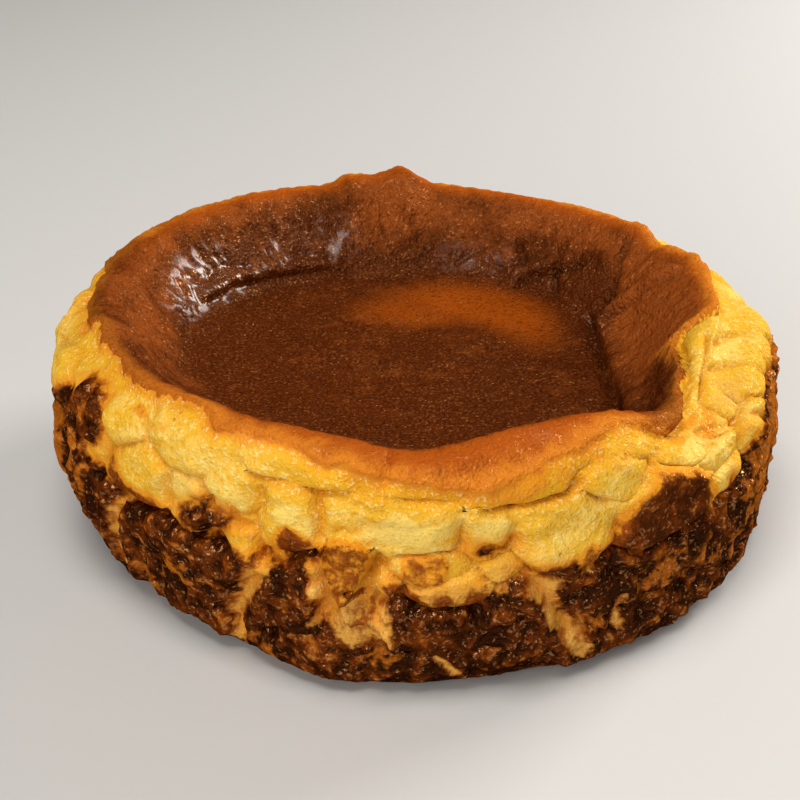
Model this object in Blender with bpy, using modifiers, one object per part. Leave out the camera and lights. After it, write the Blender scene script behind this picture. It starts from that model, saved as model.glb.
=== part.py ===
"""Basque burnt cheesecake, whole and uncut, in metres with +Z up.

One solid: a soft round cake that has sunk in the middle, with a torn rim, curd lumps and split
crust round its side, and a flat underside. The front of the cake faces -Y.
"""

import math

import bpy
import numpy as np
from mathutils import Vector, noise

# Sizes are in millimetres. Directions are degrees round the cake: 0 at the front, positive toward +X

MM = 0.001
FULL_TURN = 360.0

# Plan radius and height of the cake in a few directions, read as smooth closed curves

BASE_RADIUS = {-180: 83, -150: 83, -120: 84, -90: 84, -65: 83, -50: 81.5, -34: 83, -22: 84.5,
               -8: 88, 10: 87, 30: 87, 50: 89, 65: 90, 90: 88, 120: 85, 150: 83}
BULGE_RADIUS = {-180: 91.5, -150: 92, -120: 92, -105: 93.6, -90: 95.8, -65: 95.2, -45: 92, -20: 92.2,
                0: 94, 30: 94.5, 60: 95.5, 90: 95, 120: 92.5, 150: 92}
RIM_RADIUS = {-180: 80, -150: 82.5, -120: 84.5, -90: 83.5, -60: 84.5, -40: 86, -20: 86.5, 0: 89.5,
              20: 85.5, 32: 85, 42: 84.5, 50: 83, 60: 79.5, 70: 78.5, 80: 79.5, 90: 80.5, 120: 80,
              150: 79}
RIM_HEIGHT = {-180: 62, -165: 62.5, -150: 63.5, -120: 63.5, -90: 63.5, -60: 64.5, -40: 65.5, -20: 66,
              0: 66, 20: 66, 32: 64.4, 40: 60.8, 47: 58.2, 54: 57.6, 62: 58.8, 72: 61, 82: 62.6,
              92: 63.4, 120: 62, 150: 61.2}
FLOOR_RADIUS = {-180: 55, -150: 58, -120: 62, -90: 60, -60: 60, -30: 58, 0: 58, 30: 60,
                45: 64, 60: 59, 75: 54, 90: 51, 105: 51, 130: 55, 150: 56}
# 1 where the wall meets the floor in a fold, 0 where it runs into it in one long slope
FOOT_SHARPNESS = {-180: 0.5, -160: 0.55, -135: 0.5, -118: 0.35, -100: 0.1, -80: 0.0, -50: 0.1,
                  0: 0.3, 40: 0.8, 60: 1.0, 112: 0.85, 130: 0.5, 155: 0.4}
FLOOR_HEIGHT = 41.0
FLOOR_SWELL = 1.2
UNDERCUT_HEIGHT = 16.0
BULGE_HEIGHT = 34.0
SHOULDER_HEIGHT = 46.0

# Places along the section: 0 is the middle of the top, 1 the rim, 2 the base edge, 3 the middle below

RIM_WAY = 1.0
BASE_WAY = 2.0
SECTION_WAYS = (0.0, 0.3, 0.5, 0.625, 0.8, 0.925, 1.0, 1.05, 1.14, 1.32, 1.5, 1.75, 1.95, 2.0)
TOP_RINGS = 34
SIDE_RINGS = 54
UNDER_RINGS = 4
TURN_STEPS = 300

# Torn points and dips of the skin round the rim: direction, rise, spread before, after

RIM_POINTS = (
    (-165.5, 3.0, 9.0, 2.0),
    (-177.5, 5.2, 4.0, 5.0),
    (104.0, 1.6, 4.0, 2.5),
    (117.0, -2.2, 3.0, 4.0),
    (124.0, 1.2, 2.0, 5.0),
    (-93.0, 1.5, 3.0, 2.0),
    (0.0, -1.9, 9.0, 9.0),
    (-74.0, 1.3, 2.5, 4.0),
)

# Lumps that show in front: direction, height up the side from 0 to 1, half width, half height, rise, droop

LUMPS = (
    (-60.0, 0.77, 6.5, 0.13, 2.2, 1.0),
    (-49.5, 0.82, 6.0, 0.13, 2.4, 0.8),
    (-37.0, 0.86, 8.0, 0.09, 1.8, 0.5),
    (-45.5, 0.71, 7.0, 0.125, 3.6, 2.8),
    (-35.0, 0.665, 4.8, 0.11, 3.4, 2.4),
    (-29.5, 0.655, 3.2, 0.06, 2.4, 1.4),
    (-27.0, 0.76, 4.6, 0.075, 2.8, 1.2),
    (-18.0, 0.70, 4.3, 0.125, 3.8, 3.0),
    (-10.6, 0.77, 3.4, 0.065, 2.8, 0.6),
    (-9.8, 0.61, 3.1, 0.085, 3.8, 2.4),
    (-1.0, 0.735, 6.2, 0.09, 3.4, 1.6),
    (9.4, 0.70, 3.6, 0.10, 3.8, 1.6),
    (20.0, 0.68, 7.4, 0.12, 3.8, 2.2),
    (14.5, 0.87, 8.0, 0.065, 3.6, 2.8),
    (0.0, 0.90, 8.5, 0.06, 1.6, 0.6),
    (-17.0, 0.885, 8.0, 0.055, 1.8, 0.6),
    (27.5, 0.80, 7.0, 0.07, 3.0, 1.0),
    (37.5, 0.675, 9.0, 0.135, 4.6, 3.2),
    (32.0, 0.91, 6.5, 0.05, 1.8, 0.4),
    (43.5, 0.88, 5.5, 0.07, 2.6, 1.0),
    (50.0, 0.78, 6.0, 0.09, 3.2, 1.4),
    (57.0, 0.88, 6.0, 0.08, 3.2, 1.0),
    (70.0, 0.86, 7.0, 0.10, 3.6, 1.2),
    (84.0, 0.84, 6.5, 0.11, 3.4, 1.2),
    (49.0, 0.64, 6.0, 0.07, 2.6, 1.6),
    (62.0, 0.74, 5.0, 0.10, 3.2, 1.6),
    (0.5, 0.575, 4.2, 0.055, 2.2, 1.0),
    (2.5, 0.485, 7.6, 0.045, 3.2, 2.4),
    (11.5, 0.55, 3.0, 0.05, 2.2, 1.0),
    (1.5, 0.34, 7.0, 0.08, 2.6, 1.2),
    (13.5, 0.38, 4.4, 0.12, 3.0, 1.0),
    (1.0, 0.17, 7.0, 0.08, 2.0, 0.8),
    (14.0, 0.17, 6.5, 0.08, 2.2, 0.8),
    (-18.8, 0.38, 4.4, 0.17, 3.2, 1.2),
    (-10.0, 0.25, 4.0, 0.08, 2.6, 1.0),
    (-37.0, 0.46, 9.0, 0.14, 3.0, 1.4),
    (-42.0, 0.22, 7.0, 0.10, 2.4, 0.8),
    (28.5, 0.40, 4.6, 0.12, 2.8, 1.0),
    (38.0, 0.42, 4.8, 0.13, 3.0, 1.0),
    (47.0, 0.42, 4.6, 0.13, 2.8, 1.0),
    (56.5, 0.44, 5.0, 0.14, 2.8, 1.0),
)

# Further lumps that fill the rest of the side, of random size, each placed where there is most room

FILL_LUMPS = 84
FILL_TRIES = 14
FILL_LEVELS = (0.10, 0.93)
FILL_HALF_WIDTHS = (3.6, 8.5)
FILL_HALF_HEIGHTS = (0.055, 0.13)
FILL_RISES = (1.6, 3.8)
FILL_DROOPS = (0.4, 2.4)
LUMP_SEED = 11
MM_EACH_DEGREE = 1.67
MM_UP_SIDE = 83.0
LUMP_ROOM = 0.55
LUMP_FULLNESS = 3.2
LUMP_WARPS = ((16.0, 2.4), (6.5, 1.5), (3.0, 0.7))
CREASE_SWELL = 15.0
CREASE_FADE = (-0.45, 0.10)
WEAKEST_CREASE = 0.25
DROOP_WAYS = (1.06, 1.16)
SIDE_FADE_WAYS = (1.86, 1.97)

# Splits, folds and hollows: depth (a fold that stands out is negative), half width, then points as
# direction and place along the section

SPLITS = (
    (4.2, 2.0, ((-5.5, 1.555), (0.0, 1.565), (6.0, 1.575), (11.5, 1.57))),
    (2.4, 1.3, ((7.5, 1.215), (11.8, 1.20), (16.2, 1.205), (19.8, 1.20), (22.8, 1.18))),
    (2.4, 1.2, ((10.6, 1.203), (16.2, 1.205), (19.8, 1.20))),
    (1.8, 1.0, ((-24.0, 1.17), (-19.0, 1.175), (-14.5, 1.18), (-10.0, 1.18))),
    (2.4, 1.2, ((-14.2, 1.19), (-13.6, 1.24), (-13.4, 1.32))),
    (4.0, 2.0, ((-52.0, 1.41), (-47.0, 1.435), (-42.0, 1.45), (-36.0, 1.465), (-30.0, 1.46))),
    (3.4, 1.7, ((-22.5, 1.45), (-18.0, 1.435), (-13.0, 1.38))),
    (2.6, 1.5, ((-26.5, 1.36), (-23.6, 1.36), (-22.6, 1.46))),
    (4.2, 2.6, ((-12.6, 1.50), (-11.5, 1.56), (-13.5, 1.64))),
    (3.6, 2.4, ((-6.0, 1.42), (-7.0, 1.52), (-6.4, 1.60))),
    (3.4, 1.5, ((9.3, 1.357), (10.6, 1.352))),
    (3.0, 1.8, ((-3.0, 1.765), (4.0, 1.76), (10.0, 1.77))),
    (2.2, 2.0, ((-23.0, 1.52), (-26.5, 1.64), (-29.5, 1.80))),
    (2.0, 2.0, ((-49.0, 1.46), (-52.5, 1.56), (-55.5, 1.70))),
    (2.2, 1.6, ((16.0, 1.51), (18.5, 1.60), (22.0, 1.74))),
    (3.0, 1.7, ((26.5, 1.44), (31.0, 1.46), (37.0, 1.45), (45.0, 1.45))),
    (1.8, 0.9, ((-4.2, 0.99), (-4.0, 1.04), (-4.4, 1.08))),
    (-2.0, 0.9, ((-9.4, 1.50), (-10.4, 1.58), (-9.0, 1.63))),
    (-2.2, 0.9, ((-6.4, 1.55), (-7.2, 1.62), (-4.6, 1.66))),
    (-1.8, 1.0, ((-3.6, 1.50), (-4.8, 1.58), (-3.4, 1.70))),
    (2.2, 0.9, ((73.8, 0.985), (63.8, 1.03), (56.8, 1.067), (58.2, 1.175))),
    (1.8, 0.8, ((72.5, 1.03), (78.8, 1.075), (83.2, 1.20))),
    (1.8, 0.8, ((66.0, 1.05), (69.8, 1.09), (74.2, 1.24))),
    (1.4, 0.8, ((50.0, 1.10), (55.0, 1.14), (61.0, 1.21), (66.0, 1.32))),
)
TOP_SPLITS = (
    (3.0, 1.5, ((46.0, 0.60), (52.0, 0.57), (60.0, 0.515), (75.0, 0.50), (90.0, 0.50), (104.0, 0.515),
                (116.0, 0.54))),
    (-1.6, 3.2, ((50.0, 0.63), (60.0, 0.575), (75.0, 0.555), (90.0, 0.555), (106.0, 0.57))),
    (1.4, 1.3, ((-116.0, 0.575), (-126.0, 0.590), (-138.0, 0.570), (-152.0, 0.555), (-160.0, 0.54))),
    (-1.4, 3.0, ((-118.0, 0.61), (-128.0, 0.625), (-140.0, 0.615), (-152.0, 0.59))),
    (1.6, 1.2, ((124.0, 0.93), (121.0, 0.80), (114.0, 0.64))),
    (1.5, 1.2, ((139.0, 0.80), (138.0, 0.66), (134.0, 0.53))),
    (1.2, 1.2, ((151.0, 0.72), (146.0, 0.60), (147.0, 0.50))),
    (1.4, 2.4, ((31.0, 0.90), (37.0, 0.80), (42.0, 0.66))),
    (1.0, 1.6, ((-178.0, 0.74), (176.0, 0.66), (178.0, 0.56))),
    (1.5, 1.0, ((146.5, 0.53), (141.0, 0.61), (136.0, 0.66), (131.0, 0.72))),
    (1.3, 0.9, ((154.0, 0.57), (149.5, 0.64), (143.5, 0.70))),
    (1.6, 1.0, ((110.0, 0.62), (105.0, 0.72), (101.5, 0.86))),
    (-1.2, 1.6, ((112.5, 0.62), (108.0, 0.74), (103.5, 0.88))),
    (-1.0, 1.8, ((149.5, 0.55), (144.0, 0.64), (138.0, 0.70))),
)

# Loose flaps of skin and crust: outline as direction and place, rise, further lift along its edge

FLAPS = (
    (((-13.6, 1.335), (-10.2, 1.310), (-6.4, 1.322), (-6.0, 1.365), (-6.9, 1.42), (-7.8, 1.475),
      (-8.6, 1.535), (-9.8, 1.53), (-11.4, 1.47), (-13.4, 1.41)), 2.8, 1.6),
    (((-23.6, 1.485), (-14.6, 1.44), (-13.4, 1.50), (-14.4, 1.62), (-14.0, 1.70), (-18.0, 1.745),
      (-23.0, 1.74), (-22.4, 1.62)), 0.9, 0.6),
    (((-2.4, 1.385), (3.6, 1.375), (4.2, 1.42), (3.2, 1.475), (-2.0, 1.475)), 0.6, 0.5),
    (((-5.4, 1.60), (2.0, 1.585), (10.0, 1.555), (15.0, 1.52), (17.8, 1.58), (21.6, 1.70),
      (16.0, 1.75), (6.0, 1.77), (-3.4, 1.77)), 1.0, 0.6),
    (((29.0, 1.33), (33.0, 1.225), (37.0, 1.195), (41.0, 1.235), (44.5, 1.31), (46.6, 1.40),
      (47.0, 1.47), (44.0, 1.54), (36.0, 1.55), (29.0, 1.50)), 0.3, 0.5),
)
FLAP_EDGE = (-0.5, 0.7)
FLAP_LIFT_SPREAD = 0.9

# Soft unevenness of the sunken top and of the rim

TOP_WAVES = ((26.0, 1.1), (9.0, 0.45))
SIDE_WAVES = ((30.0, 1.0), (8.0, 0.7))
SKIN_EDGE_DROP = 1.6
SKIN_EDGE_WAYS = (1.01, 1.045)
SKIN_EDGE_TORN = ((-100.0, -45.0), (38.0, 128.0))
FINAL_TRIANGLES = 10600

CRUST_COLOUR = (0.42, 0.20, 0.07, 1.0)
CRUST_ROUGHNESS = 0.45


def smooth_step(start, end, value):
    """0 before start, 1 after end, and smooth between them."""
    part = np.clip((value - start) / (end - start), 0.0, 1.0)
    return part * part * (3.0 - 2.0 * part)


def through(places, values, at):
    """A smooth curve through the values, one row for each place, read at each place asked for."""
    places = np.asarray(places, float)
    first = np.clip(np.searchsorted(places, at, side="right") - 1, 0, len(places) - 2)
    columns = np.arange(len(at))
    before = np.maximum(first - 1, 0)
    after = np.minimum(first + 2, len(places) - 1)
    start = values[first, columns]
    end = values[first + 1, columns]
    length = places[first + 1] - places[first]
    part = (at - places[first]) / length
    start_slope = (end - values[before, columns]) / (places[first + 1] - places[before]) * length
    end_slope = (values[after, columns] - start) / (places[after] - places[first]) * length
    square = part * part
    cube = square * part
    return (
        (2.0 * cube - 3.0 * square + 1.0) * start
        + (cube - 2.0 * square + part) * start_slope
        + (3.0 * square - 2.0 * cube) * end
        + (cube - square) * end_slope
    )


def around(stations, directions):
    """A smooth closed curve through stations round the cake, read in each direction."""
    known = sorted(stations)
    places = [place + turn for turn in (-FULL_TURN, 0.0, FULL_TURN) for place in known]
    values = np.tile([float(stations[place]) for place in known], 3)
    rows = np.repeat(values[:, None], len(directions), axis=1)
    return through(places, rows, directions)


def turned_from(direction, directions):
    """Degrees from one direction to others, the short way round."""
    return (directions - direction + 180.0) % FULL_TURN - 180.0


def smooth_body(directions, ways):
    """Points of the cake before its lumps and splits, in millimetres."""
    base = around(BASE_RADIUS, directions)
    bulge = around(BULGE_RADIUS, directions)
    rim = around(RIM_RADIUS, directions)
    high = around(RIM_HEIGHT, directions)
    floor = around(FLOOR_RADIUS, directions)
    soft = 1.0 - around(FOOT_SHARPNESS, directions)
    for middle, rise, before, after in RIM_POINTS:
        turned = turned_from(middle, directions)
        spread = np.where(turned < 0.0, before, after)
        high = high + rise * np.exp(-np.abs(turned / spread) ** 1.5)
    level = np.ones_like(directions)
    radii = np.array([
        0.0 * level, floor * 0.6, floor, rim * 0.25 + floor * 0.75, rim * 0.6 + floor * 0.4,
        rim - 4.0, rim, rim + 3.2, (bulge + rim) / 2.0 + 2.0, bulge - 1.2, bulge,
        base + (bulge - base) * 0.62, base + 1.0, base - 3.0,
    ])
    heights = np.array([
        (FLOOR_HEIGHT + FLOOR_SWELL) * level, FLOOR_HEIGHT + 1.1 * soft, FLOOR_HEIGHT + 0.5 + 3.4 * soft,
        FLOOR_HEIGHT + 6.2 + 1.8 * soft, high - 5.8 - 0.8 * soft, high - 0.9, high, high - 1.2, high - 6.5,
        SHOULDER_HEIGHT * level, BULGE_HEIGHT * level, UNDERCUT_HEIGHT * level, 2.5 * level, 0.0 * level,
    ])
    radius = through(SECTION_WAYS, radii, np.minimum(ways, BASE_WAY))
    height = through(SECTION_WAYS, heights, np.minimum(ways, BASE_WAY))
    below = np.clip(ways - BASE_WAY, 0.0, 1.0)
    radius = radius * (1.0 - below)
    height = np.where(below > 0.0, 0.0, np.maximum(height, 0.0))
    turn = np.radians(directions)
    return np.stack([radius * np.sin(turn), -radius * np.cos(turn), height], axis=1)


def swell(points, size, seed=0.0):
    """Smooth random values from -1 to 1, with swells about this many millimetres wide."""
    shift = Vector((seed, seed * 1.7, seed * 0.6))
    return np.array([noise.noise(Vector(point / size) + shift) for point in points])


def all_lumps():
    """The lumps in front, then random ones, each put where the others leave most room."""
    random = np.random.default_rng(LUMP_SEED)
    lumps = list(LUMPS)
    for _ in range(FILL_LUMPS):
        width = random.uniform(*FILL_HALF_WIDTHS)
        tall = random.uniform(*FILL_HALF_HEIGHTS)
        rise = random.uniform(*FILL_RISES)
        droop = random.uniform(*FILL_DROOPS)
        most_room = 0.0
        for _ in range(FILL_TRIES):
            place = random.uniform(-180.0, 180.0)
            level = random.uniform(*FILL_LEVELS)
            room = min(
                math.hypot(
                    turned_from(other[0], place) / (other[2] + width),
                    (level - other[1]) / (other[3] + tall),
                )
                for other in lumps
            )
            if room > most_room:
                most_room = room
                best = (place, level, width, tall, rise, droop)
        if most_room > LUMP_ROOM:
            lumps.append(best)
    return lumps


def lump_relief(directions, ways, points):
    """How far the lumps stand out, and how far their lower edges hang down, in millimetres."""
    levels = BASE_WAY - ways
    for size, reach in LUMP_WARPS:
        directions = directions + reach * swell(points, size, 3.0) / MM_EACH_DEGREE
        levels = levels + reach * swell(points, size, 7.0) / MM_UP_SIDE
    nearest = np.full(len(ways), 9.0)
    second = np.full(len(ways), 9.0)
    rise = np.zeros(len(ways))
    droop = np.zeros(len(ways))
    for middle, level, width, tall, lump_rise, lump_droop in all_lumps():
        beside = turned_from(middle, directions) / width
        above = (levels - level) / tall
        away = np.hypot(beside, above)
        closer = away < nearest
        second = np.where(closer, nearest, np.minimum(second, away))
        nearest = np.where(closer, away, nearest)
        rise = np.where(closer, lump_rise, rise)
        droop = np.where(closer, lump_droop * smooth_step(0.3, -0.7, above), droop)
    full = 1.0 - (nearest / np.maximum(second, 0.01)) ** LUMP_FULLNESS
    kept = smooth_step(*CREASE_FADE, swell(points, CREASE_SWELL, 11.0))
    full = 1.0 - (1.0 - full) * (WEAKEST_CREASE + (1.0 - WEAKEST_CREASE) * kept)
    on_side = smooth_step(*DROOP_WAYS, ways) * smooth_step(*SIDE_FADE_WAYS[::-1], ways)
    return rise * full * on_side, droop * np.sqrt(np.maximum(full, 0.0)) * on_side


def split_relief(points, splits):
    """How far splits cut in, less how far folds stand out, in millimetres."""
    depth = np.zeros(len(points))
    for deep, half_width, line in splits:
        line = np.array(line)
        corners = smooth_body(line[:, 0], line[:, 1])
        away = np.full(len(points), 99.0)
        for start, end in zip(corners[:-1], corners[1:]):
            run = end - start
            part = np.clip((points - start) @ run / (run @ run), 0.0, 1.0)
            away = np.minimum(away, np.linalg.norm(points - start - part[:, None] * run, axis=1))
        depth = depth + deep * np.exp(-((away / half_width) ** 2))
    return depth


def inside_outline(directions, ways, outline):
    """Millimetres inside an outline drawn as direction and place, below 0 outside it."""
    scale = np.array([MM_EACH_DEGREE, MM_UP_SIDE])
    corners = np.array(outline) * scale
    points = np.stack([directions, ways], axis=1) * scale
    away = np.full(len(ways), 99.0)
    crossings = np.zeros(len(ways), int)
    for start, end in zip(corners, np.roll(corners, -1, axis=0)):
        run = end - start
        part = np.clip((points - start) @ run / (run @ run), 0.0, 1.0)
        away = np.minimum(away, np.linalg.norm(points - start - part[:, None] * run, axis=1))
        spans = (start[1] > points[:, 1]) != (end[1] > points[:, 1])
        crossing = start[0] + (points[:, 1] - start[1]) * run[0] / (run[1] if run[1] else 1.0)
        crossings = crossings + (spans & (points[:, 0] < crossing))
    return np.where(crossings % 2 == 1, away, -away)


def cake_points(directions, ways, normals_of):
    """Points of the finished cake, in millimetres."""
    points = smooth_body(directions, ways)
    normals = normals_of(points)
    outward, hanging = lump_relief(directions, ways, points)
    on_side = smooth_step(*DROOP_WAYS, ways) * smooth_step(*SIDE_FADE_WAYS[::-1], ways)
    on_top = smooth_step(1.05, 0.95, ways)
    for size, height in SIDE_WAVES:
        outward = outward + height * on_side * swell(points, size, 13.0)
    for size, height in TOP_WAVES:
        outward = outward + height * on_top * swell(points, size, 17.0)
    torn = np.zeros(len(ways))
    for start, end in SKIN_EDGE_TORN:
        torn = torn + smooth_step(start - 4.0, start, directions) * smooth_step(end + 4.0, end, directions)
    edge = ways + 0.012 * swell(points, 6.0, 21.0)
    outward = outward - SKIN_EDGE_DROP * torn * smooth_step(*SKIN_EDGE_WAYS, edge) * smooth_step(1.2, 1.1, ways)
    outward = outward - split_relief(points, SPLITS) * smooth_step(*SIDE_FADE_WAYS[::-1], ways)
    outward = outward - split_relief(points, TOP_SPLITS) * on_top
    for outline, rise, lift in FLAPS:
        inside = inside_outline(directions, ways, outline)
        raised = rise + lift * np.exp(-(((inside - FLAP_LIFT_SPREAD) / FLAP_LIFT_SPREAD) ** 2))
        outward = outward + smooth_step(*FLAP_EDGE, inside) * raised
    moved = points + normals * outward[:, None]
    moved[:, 2] = np.where(ways < BASE_WAY, np.maximum(moved[:, 2] - hanging, 0.4), 0.0)
    middle = (moved.min(axis=0) + moved.max(axis=0)) / 2.0
    moved[:, :2] -= middle[:2]
    return moved


def section_ways():
    """Places along the section where the turned body has its rings."""
    top = np.linspace(0.0, RIM_WAY, TOP_RINGS, endpoint=False)
    side = np.linspace(RIM_WAY, BASE_WAY, SIDE_RINGS, endpoint=False)
    under = np.linspace(BASE_WAY, BASE_WAY + 1.0, UNDER_RINGS)
    return np.concatenate([top, side, under])


def turned_body(ways):
    """The section turned once round the upright axis, as a mesh."""
    section = smooth_body(np.zeros(len(ways)), ways) * MM
    outline = bpy.data.meshes.new("section")
    corners = [(-point[1], 0.0, point[2]) for point in section]
    outline.from_pydata(corners, [(index, index + 1) for index in range(len(corners) - 1)], [])
    blank = bpy.data.objects.new("section", outline)
    bpy.context.scene.collection.objects.link(blank)
    turn = blank.modifiers.new("turn", "SCREW")
    turn.steps = TURN_STEPS
    turn.render_steps = TURN_STEPS
    turn.use_merge_vertices = True
    turn.merge_threshold = 0.0001
    graph = bpy.context.evaluated_depsgraph_get()
    body = bpy.data.meshes.new_from_object(blank.evaluated_get(graph))
    bpy.data.objects.remove(blank)
    bpy.data.meshes.remove(outline)
    return body


def mesh_points(mesh):
    points = np.empty(len(mesh.vertices) * 3)
    mesh.vertices.foreach_get("co", points)
    return points.reshape(-1, 3)


def put_points(mesh, points):
    mesh.vertices.foreach_set("co", points.ravel())
    mesh.update()


def make_cake():
    ways = section_ways()
    body = turned_body(ways)
    turned = mesh_points(body) / MM
    section = smooth_body(np.zeros(len(ways)), ways)
    radius = np.hypot(turned[:, 0], turned[:, 1])
    gap = np.hypot(radius[:, None] + section[None, :, 1], turned[:, 2, None] - section[None, :, 2])
    vertex_ways = ways[np.argmin(gap, axis=1)]
    directions = np.degrees(np.arctan2(turned[:, 0], -turned[:, 1]))

    def normals_of(points):
        put_points(body, points * MM)
        normals = np.empty(len(body.vertices) * 3)
        body.vertex_normals.foreach_get("vector", normals)
        return normals.reshape(-1, 3)

    put_points(body, cake_points(directions, vertex_ways, normals_of) * MM)
    return body


def crust_material():
    material = bpy.data.materials.new("baked_crust")
    material.use_nodes = True
    shader = material.node_tree.nodes["Principled BSDF"]
    shader.inputs["Base Color"].default_value = CRUST_COLOUR
    shader.inputs["Roughness"].default_value = CRUST_ROUGHNESS
    shader.inputs["Metallic"].default_value = 0.0
    return material


def main():
    for item in list(bpy.data.objects):
        bpy.data.objects.remove(item)
    body = make_cake()
    body.name = "cheesecake"
    body.shade_smooth()
    body.materials.clear()
    body.materials.append(crust_material())
    cake = bpy.data.objects.new("cheesecake", body)
    collection = bpy.data.collections.new("basque_burnt_cheesecake")
    bpy.context.scene.collection.children.link(collection)
    collection.objects.link(cake)
    triangles = 2 * TURN_STEPS * (len(section_ways()) - 2)
    thin = cake.modifiers.new("fewer_triangles", "DECIMATE")
    thin.ratio = FINAL_TRIANGLES / triangles


main()
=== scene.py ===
# Basque burnt cheesecake: the cake's fine surface, its bakes and curd, soft light and the camera

import math

import bpy
import numpy as np
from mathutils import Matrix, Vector, noise


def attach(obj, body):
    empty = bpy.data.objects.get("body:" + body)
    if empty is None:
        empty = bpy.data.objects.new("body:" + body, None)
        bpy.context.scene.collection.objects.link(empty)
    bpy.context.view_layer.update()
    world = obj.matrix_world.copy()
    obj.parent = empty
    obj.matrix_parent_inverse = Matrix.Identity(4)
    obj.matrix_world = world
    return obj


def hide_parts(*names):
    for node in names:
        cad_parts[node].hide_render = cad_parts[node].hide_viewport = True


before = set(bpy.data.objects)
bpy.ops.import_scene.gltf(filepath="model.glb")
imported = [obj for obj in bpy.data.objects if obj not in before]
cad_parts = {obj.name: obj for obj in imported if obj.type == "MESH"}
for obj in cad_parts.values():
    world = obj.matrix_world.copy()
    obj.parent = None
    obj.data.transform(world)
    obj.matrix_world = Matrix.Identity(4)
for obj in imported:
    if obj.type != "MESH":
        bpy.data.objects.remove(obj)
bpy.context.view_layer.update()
print("frame loaded")

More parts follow.
